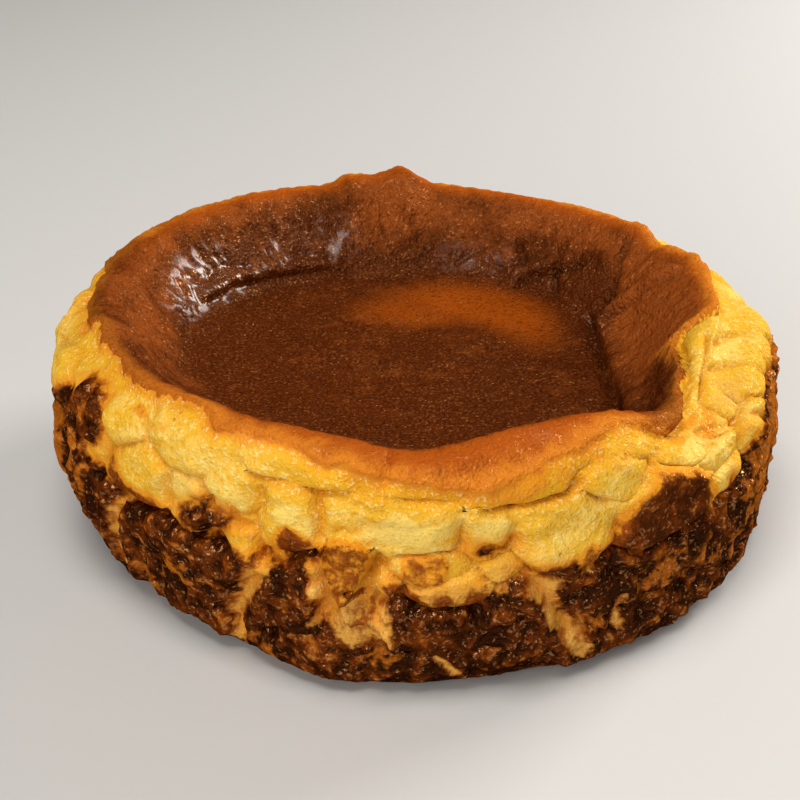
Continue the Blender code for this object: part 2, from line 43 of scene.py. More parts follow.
# Form of the cake, in millimetres. Directions are degrees: 0 at the front, positive toward +X
cakeForm = {
    "baseRadius": {-180: 83, -150: 83, -120: 84, -90: 84, -65: 83, -50: 81.5, -34: 83, -22: 84.5,
                   -8: 88, 10: 87, 30: 87, 50: 89, 65: 90, 90: 88, 120: 85, 150: 83},
    "bulgeRadius": {-180: 91.5, -150: 92, -120: 92, -105: 93.6, -90: 95.8, -65: 95.2, -45: 92, -20: 92.2,
                    0: 94, 30: 94.5, 60: 95.5, 90: 95, 120: 92.5, 150: 92},
    "rimRadius": {-180: 80, -150: 82.5, -120: 84.5, -90: 83.5, -60: 84.5, -40: 86, -20: 86.5, 0: 89.5,
                  20: 85.5, 32: 85, 42: 84.5, 50: 83, 60: 79.5, 70: 78.5, 80: 79.5, 90: 80.5, 120: 80,
                  150: 79},
    "rimHeight": {-180: 62, -165: 62.5, -150: 63.5, -120: 63.5, -90: 63.5, -60: 64.5, -40: 65.5,
                  -20: 66, 0: 66, 20: 66, 32: 64.4, 40: 60.8, 47: 58.2, 54: 57.6, 62: 58.8, 72: 61,
                  82: 62.6, 92: 63.4, 120: 62, 150: 61.2},
    "floorRadius": {-180: 55, -150: 58, -120: 62, -90: 60, -60: 60, -30: 58, 0: 58, 30: 60,
                    45: 64, 60: 59, 75: 54, 90: 51, 105: 51, 130: 55, 150: 56},
    # 1 where the wall meets the floor in a fold, 0 where it runs into it in one long slope
    "footSharpness": {-180: 0.5, -160: 0.55, -135: 0.5, -118: 0.35, -100: 0.1, -80: 0.0, -50: 0.1,
                      0: 0.3, 40: 0.8, 60: 1.0, 112: 0.85, 130: 0.5, 155: 0.4},
    "floorHeight": 41.0,
    "floorSwell": 1.2,
    "undercutHeight": 16.0,
    "bulgeHeight": 34.0,
    "shoulderHeight": 46.0,
    # places along the section: 0 middle of the top, 1 rim, 2 base edge, 3 middle below
    "sectionWays": (0.0, 0.3, 0.5, 0.625, 0.8, 0.925, 1.0, 1.05, 1.14, 1.32, 1.5, 1.75, 1.95, 2.0),
    "rings": ((0.0, 0.5, 24), (0.5, 1.0, 34), (1.0, 2.0, 104), (2.0, 3.0, 5)),
    "turnSteps": 560,
    "seamMerge": 0.000005,
    # skin points that stand up from the rim: direction, rise, spread before, spread after
    "rimPoints": (
        (-165.5, 3.0, 9.0, 2.0),
        (-177.5, 5.2, 4.0, 5.0),
        (104, 1.6, 4.0, 2.5),
        (117, -2.2, 3.0, 4.0),
        (124, 1.2, 2.0, 5.0),
        (-93, 1.5, 3.0, 2.0),
        (0, -1.9, 9.0, 9.0),
        (-74, 1.3, 2.5, 4.0),
    ),
    # lumps in front: direction, height up the side, half width, half height, rise, droop
    "lumps": (
        (-60, 0.77, 6.5, 0.13, 2.2, 1.0),
        (-49.5, 0.82, 6.0, 0.13, 2.4, 0.8),
        (-37, 0.86, 8.0, 0.09, 1.8, 0.5),
        (-45.5, 0.71, 7.0, 0.125, 3.6, 2.8),
        (-35, 0.665, 4.8, 0.11, 3.4, 2.4),
        (-29.5, 0.655, 3.2, 0.06, 2.4, 1.4),
        (-27, 0.76, 4.6, 0.075, 2.8, 1.2),
        (-18, 0.70, 4.3, 0.125, 3.8, 3.0),
        (-10.6, 0.77, 3.4, 0.065, 2.8, 0.6),
        (-9.8, 0.61, 3.1, 0.085, 3.8, 2.4),
        (-1, 0.735, 6.2, 0.09, 3.4, 1.6),
        (9.4, 0.70, 3.6, 0.10, 3.8, 1.6),
        (20, 0.68, 7.4, 0.12, 3.8, 2.2),
        (14.5, 0.87, 8.0, 0.065, 3.4, 2.2),
        (0, 0.90, 8.5, 0.06, 1.6, 0.6),
        (-17, 0.885, 8.0, 0.055, 1.8, 0.6),
        (27.5, 0.80, 7.0, 0.07, 3.0, 1.0),
        (37.5, 0.675, 9.0, 0.135, 4.6, 3.2),
        (32, 0.91, 6.5, 0.05, 1.8, 0.4),
        (43.5, 0.88, 5.5, 0.07, 2.6, 1.0),
        (50, 0.78, 6.0, 0.09, 3.2, 1.4),
        (57, 0.88, 6.0, 0.08, 3.2, 1.0),
        (70, 0.86, 7.0, 0.10, 3.6, 1.2),
        (84, 0.84, 6.5, 0.11, 3.4, 1.2),
        (49, 0.64, 6.0, 0.07, 2.6, 1.6),
        (62, 0.74, 5.0, 0.10, 3.2, 1.6),
        (0.5, 0.575, 4.2, 0.055, 2.2, 1.0),
        (2.5, 0.485, 7.6, 0.045, 3.2, 2.4),
        (11.5, 0.55, 3.0, 0.05, 2.2, 1.0),
        (1.5, 0.34, 7.0, 0.08, 2.6, 1.2),
        (13.5, 0.38, 4.4, 0.12, 3.0, 1.0),
        (1, 0.17, 7.0, 0.08, 2.0, 0.8),
        (14, 0.17, 6.5, 0.08, 2.2, 0.8),
        (-18.8, 0.38, 4.4, 0.17, 3.2, 1.2),
        (-10, 0.25, 4.0, 0.08, 2.6, 1.0),
        (-37, 0.46, 9.0, 0.14, 3.0, 1.4),
        (-42, 0.22, 7.0, 0.10, 2.4, 0.8),
        (28.5, 0.40, 4.6, 0.12, 2.8, 1.0),
        (38, 0.42, 4.8, 0.13, 3.0, 1.0),
        (47, 0.42, 4.6, 0.13, 2.8, 1.0),
        (56.5, 0.44, 5.0, 0.14, 2.8, 1.0),
    ),
    "fillLumps": 84,
    "fillTries": 14,
    "fillLevels": (0.10, 0.93),
    "fillHalfWidths": (3.6, 8.5),
    "fillHalfHeights": (0.055, 0.13),
    "fillRises": (1.6, 3.8),
    "fillDroops": (0.4, 2.4),
    "lumpSeed": 11,
    "lumpRoom": 0.55,
    "lumpFullness": 3.2,
    "lumpWarps": ((16.0, 2.4), (6.5, 1.5), (3.0, 0.7)),
    "mmEachDegree": 1.67,
    "mmUpSide": 83.0,
    "sideRadius": 92.0,
    "wallRadius": 70.0,
    "creaseSwell": 15.0,
    "creaseFade": (-0.45, 0.10),
    "weakestCrease": 0.25,
    "sideStart": (1.06, 1.16),
    "sideEnd": (1.97, 1.86),
    # splits and folds on the side: depth, half width, then points as direction and place on the section
    "splits": (
        (4.2, 2.0, ((-5.5, 1.555), (0, 1.565), (6, 1.575), (11.5, 1.57))),
        (2.4, 1.3, ((9.2, 1.208), (11.8, 1.20), (16.2, 1.205), (19.8, 1.20), (22.8, 1.18))),
        (2.4, 1.2, ((10.6, 1.203), (16.2, 1.205), (19.8, 1.20))),
        (1.8, 1.0, ((-24, 1.17), (-19, 1.175), (-14.5, 1.18), (-10, 1.18))),
        (2.4, 1.2, ((-14.2, 1.19), (-13.6, 1.24), (-13.4, 1.32))),
        (4.0, 2.0, ((-52, 1.41), (-47, 1.435), (-42, 1.45), (-36, 1.465), (-30, 1.46))),
        (3.4, 1.7, ((-22.5, 1.45), (-18, 1.435), (-13, 1.38))),
        (2.6, 1.5, ((-26.5, 1.36), (-23.6, 1.36), (-22.6, 1.46))),
        (4.2, 2.6, ((-12.6, 1.50), (-11.5, 1.56), (-13.5, 1.64))),
        (3.6, 2.4, ((-6, 1.42), (-7, 1.52), (-6.4, 1.60))),
        (3.4, 1.5, ((9.3, 1.357), (10.6, 1.352))),
        (3.0, 1.8, ((-3, 1.765), (4, 1.76), (10, 1.77))),
        (2.2, 2.0, ((-23, 1.52), (-26.5, 1.64), (-29.5, 1.80))),
        (2.0, 2.0, ((-49, 1.46), (-52.5, 1.56), (-55.5, 1.70))),
        (2.2, 1.6, ((16, 1.51), (18.5, 1.60), (22, 1.74))),
        (3.0, 1.7, ((26.5, 1.44), (31, 1.46), (37, 1.45), (45, 1.45))),
        (1.8, 0.9, ((-4.2, 0.99), (-4, 1.04), (-4.4, 1.08))),
        (-2.0, 0.9, ((-9.4, 1.50), (-10.4, 1.58), (-9, 1.63))),
        (-2.2, 0.9, ((-6.4, 1.55), (-7.2, 1.62), (-4.6, 1.66))),
        (-1.8, 1.0, ((-3.6, 1.50), (-4.8, 1.58), (-3.4, 1.70))),
        (2.2, 0.9, ((73.8, 0.985), (63.8, 1.03), (56.8, 1.067), (58.2, 1.175))),
        (1.8, 0.8, ((72.5, 1.03), (78.8, 1.075), (83.2, 1.20))),
        (1.8, 0.8, ((66, 1.05), (69.8, 1.09), (74.2, 1.24))),
        (1.4, 0.8, ((50, 1.10), (55, 1.14), (61, 1.21), (66, 1.32))),
    ),
    "topSplits": (
        (3.0, 1.5, ((46, 0.60), (52, 0.57), (60, 0.515), (75, 0.50), (90, 0.50), (104, 0.515),
                    (116, 0.54))),
        (-1.6, 3.2, ((50, 0.63), (60, 0.575), (75, 0.555), (90, 0.555), (106, 0.57))),
        (1.4, 1.3, ((-116, 0.575), (-126, 0.590), (-138, 0.570), (-152, 0.555), (-160, 0.54))),
        (-1.4, 3.0, ((-118, 0.61), (-128, 0.625), (-140, 0.615), (-152, 0.59))),
        (0.9, 1.1, ((-122, 0.525), (-138, 0.525), (-156, 0.51), (-172, 0.49))),
        (2.1, 1.1, ((124, 0.93), (121, 0.80), (114, 0.64))),
        (2.0, 1.1, ((139, 0.80), (138, 0.66), (134, 0.53))),
        (1.2, 1.2, ((151, 0.72), (146, 0.60), (147, 0.50))),
        (1.4, 2.4, ((31, 0.90), (37, 0.80), (42, 0.66))),
        (1.0, 1.6, ((-178, 0.74), (176, 0.66), (178, 0.56))),
        (2.1, 1.0, ((146.5, 0.53), (141, 0.61), (136, 0.66), (131, 0.72))),
        (1.3, 0.9, ((154, 0.57), (149.5, 0.64), (143.5, 0.70))),
        (2.1, 0.9, ((110, 0.62), (105, 0.72), (101.5, 0.86))),
        (1.2, 0.8, ((116, 0.66), (112, 0.76), (106, 0.88), (103, 0.94))),
        (-1.2, 1.6, ((112.5, 0.62), (108, 0.74), (103.5, 0.88))),
        (1.0, 0.9, ((167, 0.58), (162, 0.66), (157, 0.71))),
        (-1.0, 1.8, ((149.5, 0.55), (144, 0.64), (138, 0.70))),
        (1.2, 0.9, ((-143, 0.62), (-149, 0.66), (-156, 0.62))),
        (1.0, 0.8, ((-120, 0.68), (-127, 0.70), (-133, 0.66))),
    ),
    "topWaves": ((26.0, 1.1), (9.0, 0.45)),
    "sideWaves": ((30.0, 1.0), (8.0, 0.7)),
    "skinDrop": 1.6,
    "skinDropWays": (1.01, 1.045),
    "skinTorn": ((-100.0, -45.0), (38.0, 128.0)),
    # hollow of the curd beside the torn skin on the right: depth, width, direction from and to
    "tornHollow": (2.6, 3.0, 44.0, 88.0),
    # finer relief: width and height of curd crumb, crust crags and wall wrinkles
    "curdCrumb": ((5.0, 0.35), (2.6, 0.25)),
    "curdFolds": ((12.0, 0.9), (5.5, 0.5)),
    "curdFoldStretch": 0.55,
    "crustCrags": ((7.0, 1.1), (3.6, 0.55), (2.0, 0.15)),
    "crustFlatter": 0.35,
    "wallWrinkles": ((5.6, 0.75), (2.6, 0.60)),
    "wrinkleStretch": 2.2,
    "wetWrinkles": 0.7,
    "wrinkleWarp": (12.0, 5.0),
    "skinThick": 0.9,
    "crustThick": 1.3,
    "crustLift": 0.8,
    "crustSettle": 0.9,
    "crustFolds": ((5.2, 1.1), (2.8, 0.35)),
    "crustFoldStretch": 2.8,
    "skinLift": 0.5,
    "rimGrain": ((3.4, 0.40), (1.8, 0.25)),
}


def smoothStep(start, end, value):
    part = np.clip((value - start) / (end - start), 0.0, 1.0)
    return part * part * (3.0 - 2.0 * part)


# A smooth curve through the values, one row for each place, read at each place asked for
def through(places, values, at):
    places = np.asarray(places, float)
    first = np.clip(np.searchsorted(places, at, side="right") - 1, 0, len(places) - 2)
    columns = np.arange(len(at))
    before = np.maximum(first - 1, 0)
    after = np.minimum(first + 2, len(places) - 1)
    start = values[first, columns]
    end = values[first + 1, columns]
    length = places[first + 1] - places[first]
    part = (at - places[first]) / length
    startSlope = (end - values[before, columns]) / (places[first + 1] - places[before]) * length
    endSlope = (values[after, columns] - start) / (places[after] - places[first]) * length
    square = part * part
    cube = square * part
    return (
        (2.0 * cube - 3.0 * square + 1.0) * start
        + (cube - 2.0 * square + part) * startSlope
        + (3.0 * square - 2.0 * cube) * end
        + (cube - square) * endSlope
    )


# A smooth closed curve through stations round the cake
def around(stations, directions):
    known = sorted(stations)
    places = [place + turn for turn in (-360.0, 0.0, 360.0) for place in known]
    values = np.tile([float(stations[place]) for place in known], 3)
    rows = np.repeat(values[:, None], len(directions), axis=1)
    return through(places, rows, directions)


def turnedFrom(direction, directions):
    return (directions - direction + 180.0) % 360.0 - 180.0


# Points of the cake before its lumps and splits
def smoothBody(directions, ways):
    form = cakeForm
    base = around(form["baseRadius"], directions)
    bulge = around(form["bulgeRadius"], directions)
    rim = around(form["rimRadius"], directions)
    high = around(form["rimHeight"], directions)
    floor = around(form["floorRadius"], directions)
    for middle, rise, before, after in form["rimPoints"]:
        turned = turnedFrom(middle, directions)
        spread = np.where(turned < 0.0, before, after)
        high = high + rise * np.exp(-np.abs(turned / spread) ** 1.5)
    level = np.ones_like(directions)
    floorHeight = form["floorHeight"]
    soft = 1.0 - around(form["footSharpness"], directions)
    radii = np.array([
        0.0 * level, floor * 0.6, floor, rim * 0.25 + floor * 0.75, rim * 0.6 + floor * 0.4,
        rim - 4.0, rim, rim + 3.2, (bulge + rim) / 2.0 + 2.0, bulge - 1.2, bulge,
        base + (bulge - base) * 0.62, base + 1.0, base - 3.0,
    ])
    heights = np.array([
        (floorHeight + form["floorSwell"]) * level, floorHeight + 1.1 * soft, floorHeight + 0.5 + 3.4 * soft,
        floorHeight + 6.2 + 1.8 * soft, high - 5.8 - 0.8 * soft, high - 0.9, high, high - 1.2, high - 6.5,
        form["shoulderHeight"] * level, form["bulgeHeight"] * level, form["undercutHeight"] * level,
        2.5 * level, 0.0 * level,
    ])
    radius = through(form["sectionWays"], radii, np.minimum(ways, 2.0))
    height = through(form["sectionWays"], heights, np.minimum(ways, 2.0))
    below = np.clip(ways - 2.0, 0.0, 1.0)
    radius = radius * (1.0 - below)
    height = np.where(below > 0.0, 0.0, np.maximum(height, 0.0))
    turn = np.radians(directions)
    return np.stack([radius * np.sin(turn), -radius * np.cos(turn), height], axis=1)


# Smooth random values from -1 to 1, with swells about this many millimetres wide
def swell(points, size, seed=0.0):
    shift = Vector((seed, seed * 1.7, seed * 0.6))
    return np.array([noise.noise(Vector(point) + shift) for point in points / size])


def allLumps():
    form = cakeForm
    random = np.random.default_rng(form["lumpSeed"])
    lumps = list(form["lumps"])
    for _ in range(form["fillLumps"]):
        width = random.uniform(*form["fillHalfWidths"])
        tall = random.uniform(*form["fillHalfHeights"])
        rise = random.uniform(*form["fillRises"])
        droop = random.uniform(*form["fillDroops"])
        mostRoom = 0.0
        for _ in range(form["fillTries"]):
            place = random.uniform(-180.0, 180.0)
            level = random.uniform(*form["fillLevels"])
            room = min(
                math.hypot(
                    turnedFrom(other[0], place) / (other[2] + width),
                    (level - other[1]) / (other[3] + tall),
                )
                for other in lumps
            )
            if room > mostRoom:
                mostRoom = room
                best = (place, level, width, tall, rise, droop)
        if mostRoom > form["lumpRoom"]:
            lumps.append(best)
    return lumps


def onSide(ways):
    return smoothStep(*cakeForm["sideStart"], ways) * smoothStep(*cakeForm["sideEnd"], ways)


# How far the lumps stand out, how far their lower edges hang, and how near a point is to a crease
def lumpRelief(directions, ways, points):
    form = cakeForm
    levels = 2.0 - ways
    for size, reach in form["lumpWarps"]:
        directions = directions + reach * swell(points, size, 3.0) / form["mmEachDegree"]
        levels = levels + reach * swell(points, size, 7.0) / form["mmUpSide"]
    nearest = np.full(len(ways), 9.0)
    second = np.full(len(ways), 9.0)
    rise = np.zeros(len(ways))
    droop = np.zeros(len(ways))
    for middle, level, width, tall, lumpRise, lumpDroop in allLumps():
        beside = turnedFrom(middle, directions) / width
        above = (levels - level) / tall
        away = np.hypot(beside, above)
        closer = away < nearest
        second = np.where(closer, nearest, np.minimum(second, away))
        nearest = np.where(closer, away, nearest)
        rise = np.where(closer, lumpRise, rise)
        droop = np.where(closer, lumpDroop * smoothStep(0.3, -0.7, above), droop)
    full = 1.0 - (nearest / np.maximum(second, 0.01)) ** form["lumpFullness"]
    kept = smoothStep(*form["creaseFade"], swell(points, form["creaseSwell"], 11.0))
    full = 1.0 - (1.0 - full) * (form["weakestCrease"] + (1.0 - form["weakestCrease"]) * kept)
    side = onSide(ways)
    return rise * full * side, droop * np.sqrt(np.maximum(full, 0.0)) * side, (1.0 - full) * side


# Distance from each point to a line given as direction and place on the section
def awayFrom(points, line):
    line = np.array(line)
    corners = smoothBody(line[:, 0], line[:, 1])
    away = np.full(len(points), 99.0)
    for start, end in zip(corners[:-1], corners[1:]):
        run = end - start
        part = np.clip((points - start) @ run / (run @ run), 0.0, 1.0)
        away = np.minimum(away, np.linalg.norm(points - start - part[:, None] * run, axis=1))
    return away


def splitRelief(points, splits):
    depth = np.zeros(len(points))
    for deep, halfWidth, line in splits:
        depth = depth + deep * np.exp(-((awayFrom(points, line) / halfWidth) ** 2))
    return depth


# Inside an oval on the skin of the cake: 1 at its middle, 0 at its edge, below 0 outside
def insideOval(directions, ways, oval):
    return 1.0 - np.hypot(turnedFrom(oval[0], directions) / oval[2], (ways - oval[1]) / oval[3])


# Millimetres inside an outline drawn as direction and place, below 0 outside it
def insideOutline(directions, ways, outline):
    scale = np.array([cakeForm["mmEachDegree"], cakeForm["mmUpSide"]])
    corners = np.array(outline) * scale
    points = np.stack([directions, ways], axis=1) * scale
    away = np.full(len(ways), 99.0)
    crossings = np.zeros(len(ways), int)
    for start, end in zip(corners, np.roll(corners, -1, axis=0)):
        run = end - start
        part = np.clip((points - start) @ run / (run @ run), 0.0, 1.0)
        away = np.minimum(away, np.linalg.norm(points - start - part[:, None] * run, axis=1))
        spans = (start[1] > points[:, 1]) != (end[1] > points[:, 1])
        crossing = start[0] + (points[:, 1] - start[1]) * run[0] / (run[1] if run[1] else 1.0)
        crossings = crossings + (spans & (points[:, 0] < crossing))
    return np.where(crossings % 2 == 1, away, -away)


# Where the bakes lie, as direction and place on the section
cakeBake = {
    # lower edge of the top skin, place on the section in each direction
    "skinEdge": {-180: 1.07, -150: 1.07, -120: 1.07, -105: 1.09, -98: 1.08, -90: 1.07, -84: 1.06,
                 -78: 1.06, -73: 1.01, -68: 1.03, -62: 0.99, -57: 1.01, -50: 1.01, -45: 1.02,
                 -40: 1.01, -30: 1.04, -20: 1.05, -10: 1.08, 0: 1.11, 6: 1.13, 12: 1.12, 20: 1.11,
                 25: 1.07, 30: 1.04, 36: 1.04, 41: 1.06, 46: 1.03, 52: 0.99, 57: 0.96, 62: 0.935,
                 66: 0.90, 70: 0.85, 74: 0.81, 77: 0.81, 79.5: 0.93, 83: 1.0, 90: 1.0, 98: 1.01, 105: 1.03,
                 115: 1.02, 125: 1.05, 150: 1.07},
    # height up the side that the dark crust reaches
    "crustTop": {-180: 0.55, -160: 0.64, -140: 0.52, -120: 0.66, -105: 0.60, -90: 0.62, -75: 0.70,
                 -65: 0.80, -60: 0.66, -56: 0.60, -52: 0.59, -47: 0.565, -42: 0.55, -36: 0.54,
                 -30: 0.545, -26: 0.53, -20: 0.545, -15: 0.55, -12: 0.31, -6: 0.30, -4.5: 0.43, 5: 0.43,
                 10: 0.46, 15: 0.50, 18: 0.44, 22: 0.49, 28: 0.55, 33: 0.57, 40: 0.52, 47: 0.54,
                 52: 0.60, 57: 0.66, 62: 0.70, 68: 0.74, 74: 0.76, 84: 0.77, 96: 0.78, 110: 0.72,
                 130: 0.60, 155: 0.68},
    # crust patches above that: direction, place, half width, half height on the section
    "crustPatches": (
        (-59.5, 1.20, 4.0, 0.10),
        (-16.6, 1.415, 3.0, 0.03),
        (10, 1.355, 1.3, 0.013),
        (19.5, 1.46, 3.5, 0.03),
        (-32, 1.37, 3.5, 0.04),
        (-130, 1.33, 8.0, 0.08),
        (150, 1.35, 10.0, 0.09),
        (-165, 1.34, 7.0, 0.07),
    ),
    # loose flaps of skin and crust: outline as direction and place, rise, lift of the edge, toast
    "flaps": (
        (((-13.6, 1.335), (-10.2, 1.310), (-6.4, 1.322), (-6, 1.365), (-6.9, 1.42), (-7.8, 1.475),
          (-8.6, 1.535), (-9.8, 1.53), (-11.4, 1.47), (-13.4, 1.41)), 2.8, 1.6, 0.92),
        (((-23.6, 1.485), (-14.6, 1.44), (-13.4, 1.50), (-14.4, 1.62), (-14, 1.70), (-18, 1.745),
          (-23, 1.74), (-22.4, 1.62)), 0.9, 0.6, 0.0),
        (((-2.4, 1.385), (3.6, 1.375), (4.2, 1.42), (3.2, 1.475), (-2, 1.475)), 0.6, 0.5, 0.80),
        (((-5.4, 1.60), (2, 1.585), (10, 1.555), (15, 1.52), (17.8, 1.58), (21.6, 1.70),
          (16, 1.75), (6, 1.77), (-3.4, 1.77)), 1.0, 0.6, 0.0),
        (((29, 1.33), (33, 1.225), (37, 1.195), (41, 1.235), (44.5, 1.31), (46.6, 1.40),
          (47, 1.47), (44, 1.54), (36, 1.55), (29, 1.50)), 0.3, 0.5, 0.0),
    ),
    # baked spots with a clear outline: outline, toast, width over which it sets in
    "toastOutlines": (
        (((25.5, 1.34), (29.5, 1.215), (35.5, 1.15), (41, 1.175), (46, 1.26), (49.5, 1.37),
          (50, 1.48), (46, 1.60), (31, 1.60), (24, 1.49)), 1.8, 11.0),
        # the next outline is partly painted shade in the recess between the front panels
        (((-13.4, 1.53), (-3.4, 1.52), (-2.4, 1.74), (-13.4, 1.76)), 0.78, 3.0),
        (((-5.5, 1.445), (3, 1.455), (9.5, 1.425), (11.5, 1.56), (-5.5, 1.56)), 0.55, 3.0),
        (((-6, 1.475), (3, 1.485), (10, 1.46), (11.5, 1.58), (-6, 1.58)), 1.05, 3.0),
        (((-56, 1.26), (-48, 1.275), (-43, 1.30), (-38.5, 1.33), (-38, 1.47), (-44, 1.47),
          (-49, 1.45), (-56, 1.42)), 1.15, 7.0),
        (((-38, 1.36), (-34.5, 1.325), (-31, 1.335), (-28.5, 1.39), (-28.5, 1.47), (-34, 1.48),
          (-38, 1.47)), 0.95, 3.0),
        (((-22.2, 1.325), (-18, 1.285), (-13.4, 1.305), (-13, 1.42), (-17, 1.46), (-22.2, 1.45)), 1.25, 5.0),
        (((13.5, 1.40), (18, 1.405), (23.5, 1.375), (28, 1.35), (29, 1.44), (20, 1.49),
          (14.5, 1.48)), 0.95, 3.5),
        (((-45.5, 1.10), (-42, 1.075), (-37.5, 1.08), (-38, 1.11), (-43, 1.13)), 0.40, 1.5),
    ),
    # pale strips where the crust has split: half width, then points
    "paleStrips": (
        (2.3, ((-49, 1.43), (-52.5, 1.56), (-55.5, 1.70), (-57, 1.82))),
        (2.5, ((-22.5, 1.49), (-26.5, 1.64), (-29.5, 1.80), (-31, 1.90))),
        (2.4, ((-12.8, 1.47), (-12.6, 1.58), (-13.4, 1.64))),
        (2.6, ((-6.6, 1.44), (-7, 1.56), (-4.6, 1.70))),
        (2.1, ((15.5, 1.49), (18.5, 1.60), (22, 1.74), (23.5, 1.82))),
        (1.5, ((23.5, 1.68), (25, 1.86))),
        (1.3, ((-16, 1.72), (-15, 1.80))),
        (1.5, ((2.5, 1.82), (5, 1.86))),
        (1.2, ((30.5, 1.66), (31.2, 1.76))),
        (1.0, ((37.8, 1.42), (38.6, 1.44))),
        (2.0, ((-104, 1.42), (-108, 1.70))),
        (2.4, ((-140, 1.45), (-136, 1.60), (-138, 1.84))),
        (2.2, ((178, 1.44), (174, 1.62), (176, 1.78))),
        (2.0, ((112, 1.34), (108, 1.56), (110, 1.70))),
        (2.4, ((142, 1.42), (146, 1.66))),
    ),
    # toasted spots on the curd: direction, place, half width, half height, strength
    "toastSpots": (
        (0.6, 1.425, 4.0, 0.05, 0.95),
        # the next spot is partly painted shade in the recess between the front panels
        (-9, 1.62, 5.0, 0.07, 0.85),
        (-8.6, 1.50, 1.8, 0.05, 1.1),
        (-5.5, 1.66, 3.0, 0.07, 0.6),
        (34, 1.17, 6.0, 0.04, 0.45),
        (62, 1.10, 16.0, 0.12, 0.28),
        (44, 1.10, 5.0, 0.04, 0.50),
        (50, 1.06, 6.0, 0.03, 0.55),
        (30, 1.12, 9.0, 0.05, 0.30),
        (8, 1.47, 5.0, 0.03, 0.5),
        (-43, 1.365, 9.0, 0.055, 0.55),
        (-31.5, 1.30, 5.5, 0.08, 0.35),
        (-52, 1.28, 6.0, 0.05, 0.35),
        (19, 1.44, 6.5, 0.06, 0.8),
        (31, 1.43, 6.0, 0.05, 0.8),
        (50, 1.42, 5.0, 0.05, 0.6),
        (3, 1.53, 9.0, 0.05, 0.45),
        (-57, 1.16, 6.0, 0.12, 0.6),
        (-46, 1.10, 4.0, 0.03, 0.6),
        (14.5, 1.13, 8.0, 0.06, 0.5),
        (62, 1.30, 6.0, 0.05, 0.6),
        (52, 1.10, 8.0, 0.05, 0.45),
        (58, 1.24, 9.0, 0.06, 0.40),
        (78, 1.20, 14.0, 0.08, 0.35),
    ),
    # paler curd, partly painted light on the tops of the lumps: direction, place, half width, half height, strength
    "paleAndLitSpots": (
        (-1, 1.265, 8.0, 0.09, 0.75),
        (9.5, 1.29, 4.5, 0.09, 0.6),
        (-17.5, 1.26, 4.5, 0.07, 0.6),
        (-28, 1.25, 5.0, 0.09, 0.45),
        (22, 1.26, 6.0, 0.10, 0.25),
        (-10.6, 1.24, 3.4, 0.06, 0.45),
        (2, 1.36, 7.0, 0.06, 0.6),
        (-45, 1.18, 6.0, 0.06, 0.3),
        (-37, 1.28, 6.0, 0.05, 0.3),
        (46, 1.14, 7.0, 0.06, 0.15),
        (72, 1.05, 10.0, 0.08, 0.2),
        (-86, 1.16, 8.0, 0.08, 0.4),
        (150, 1.22, 16.0, 0.08, 0.4),
        (-140, 1.20, 14.0, 0.08, 0.4),
    ),
    # orange crumbs of bake inside the dark crust
    "amberSpots": (
        (82, 1.30, 26.0, 0.20, 0.78),
        (70, 1.50, 22.0, 0.34, 0.75),
        (-78, 1.46, 18.0, 0.38, 0.95),
        (-62, 1.42, 6.0, 0.20, 0.50),
        (140, 1.60, 24.0, 0.25, 0.55),
        (-140, 1.60, 26.0, 0.25, 0.55),
        (36, 1.60, 12.0, 0.12, 0.45),
        (-39, 1.63, 4.5, 0.07, 0.8),
        (-24, 1.86, 7.0, 0.06, 0.6),
        (-5, 1.80, 4.0, 0.08, 0.8),
        (48, 1.62, 6.0, 0.10, 0.5),
        (27, 1.72, 4.0, 0.08, 0.7),
        (-50, 1.78, 5.0, 0.09, 0.6),
        (57, 1.70, 5.0, 0.12, 0.6),
        (10, 1.86, 6.0, 0.05, 0.5),
    ),
    "edgeRagged": ((9.0, 2.6), (3.6, 1.5), (1.6, 0.6)),
    # tone of the top skin: direction, place, half width, half height, lighter (+) or darker (-); the lighter ovals on
    # the left wall (-85) and the right wall (95) are partly painted light
    "skinToneAndLightSpots": (
        (-85, 0.78, 40.0, 0.22, 0.55),
        (-60, 0.55, 25.0, 0.20, 0.30),
        (84, 0.64, 30.0, 0.15, 0.80),
        (98, 0.84, 34.0, 0.13, 1.10),
        (150, 0.88, 42.0, 0.12, 0.90),
        (-176, 0.82, 12.0, 0.16, 0.55),
        (-140, 0.90, 45.0, 0.08, 0.55),
        (-135, 0.55, 30.0, 0.09, -0.60),
        (130, 0.62, 22.0, 0.12, -0.35),
        (-90, 0.40, 60.0, 0.12, -0.45),
        (60, 0.42, 40.0, 0.12, -0.15),
        (95, 0.74, 26.0, 0.14, 1.40),
        (60, 0.44, 34.0, 0.10, 0.25),
        (172, 0.74, 34.0, 0.14, 0.45),
        (0, 0.30, 90.0, 0.25, -0.25),
        (-20, 0.96, 70.0, 0.06, 0.7),
    ),
    # how orange the crest of the rim is in each direction, 0 where it stays brown
    "rimOrange": {-180: 1.0, -140: 1.0, -120: 0.6, -100: 0.15, -60: 0.1, -45: 0.3, -30: 0.65, -15: 0.9,
                  0: 1.0, 30: 1.0, 38: 0.6, 46: 0.1, 54: 0.0, 64: 0.0, 72: 0.5, 80: 1.0, 120: 1.0, 150: 1.0},
    # how softly the skin runs into the curd at its lower edge in each direction
    "softEdge": {-180: 0.0, -40: 0.0, -28: 0.5, -15: 1.0, 8: 1.0, 20: 0.4, 34: 0.0, 120: 0.0},
    # how much orange the curd takes on just under the skin in each direction
    "underOrange": {-180: 1.0, 32: 1.0, 44: 0.5, 54: 0.1, 86: 0.1, 100: 0.6, 120: 1.0},
    # wet patches of the top skin: direction, place, half width, half height, strength
    "wetSpots": (
        (-122, 0.67, 27.0, 0.19, 1.0),
        (-150, 0.70, 20.0, 0.16, 0.6),
        (155, 0.60, 30.0, 0.13, 0.13),
        (108, 0.56, 14.0, 0.07, 0.5),
        (18, 1.01, 4.0, 0.05, 0.8),
        (-15, 0.40, 12.0, 0.04, 0.4),
    ),
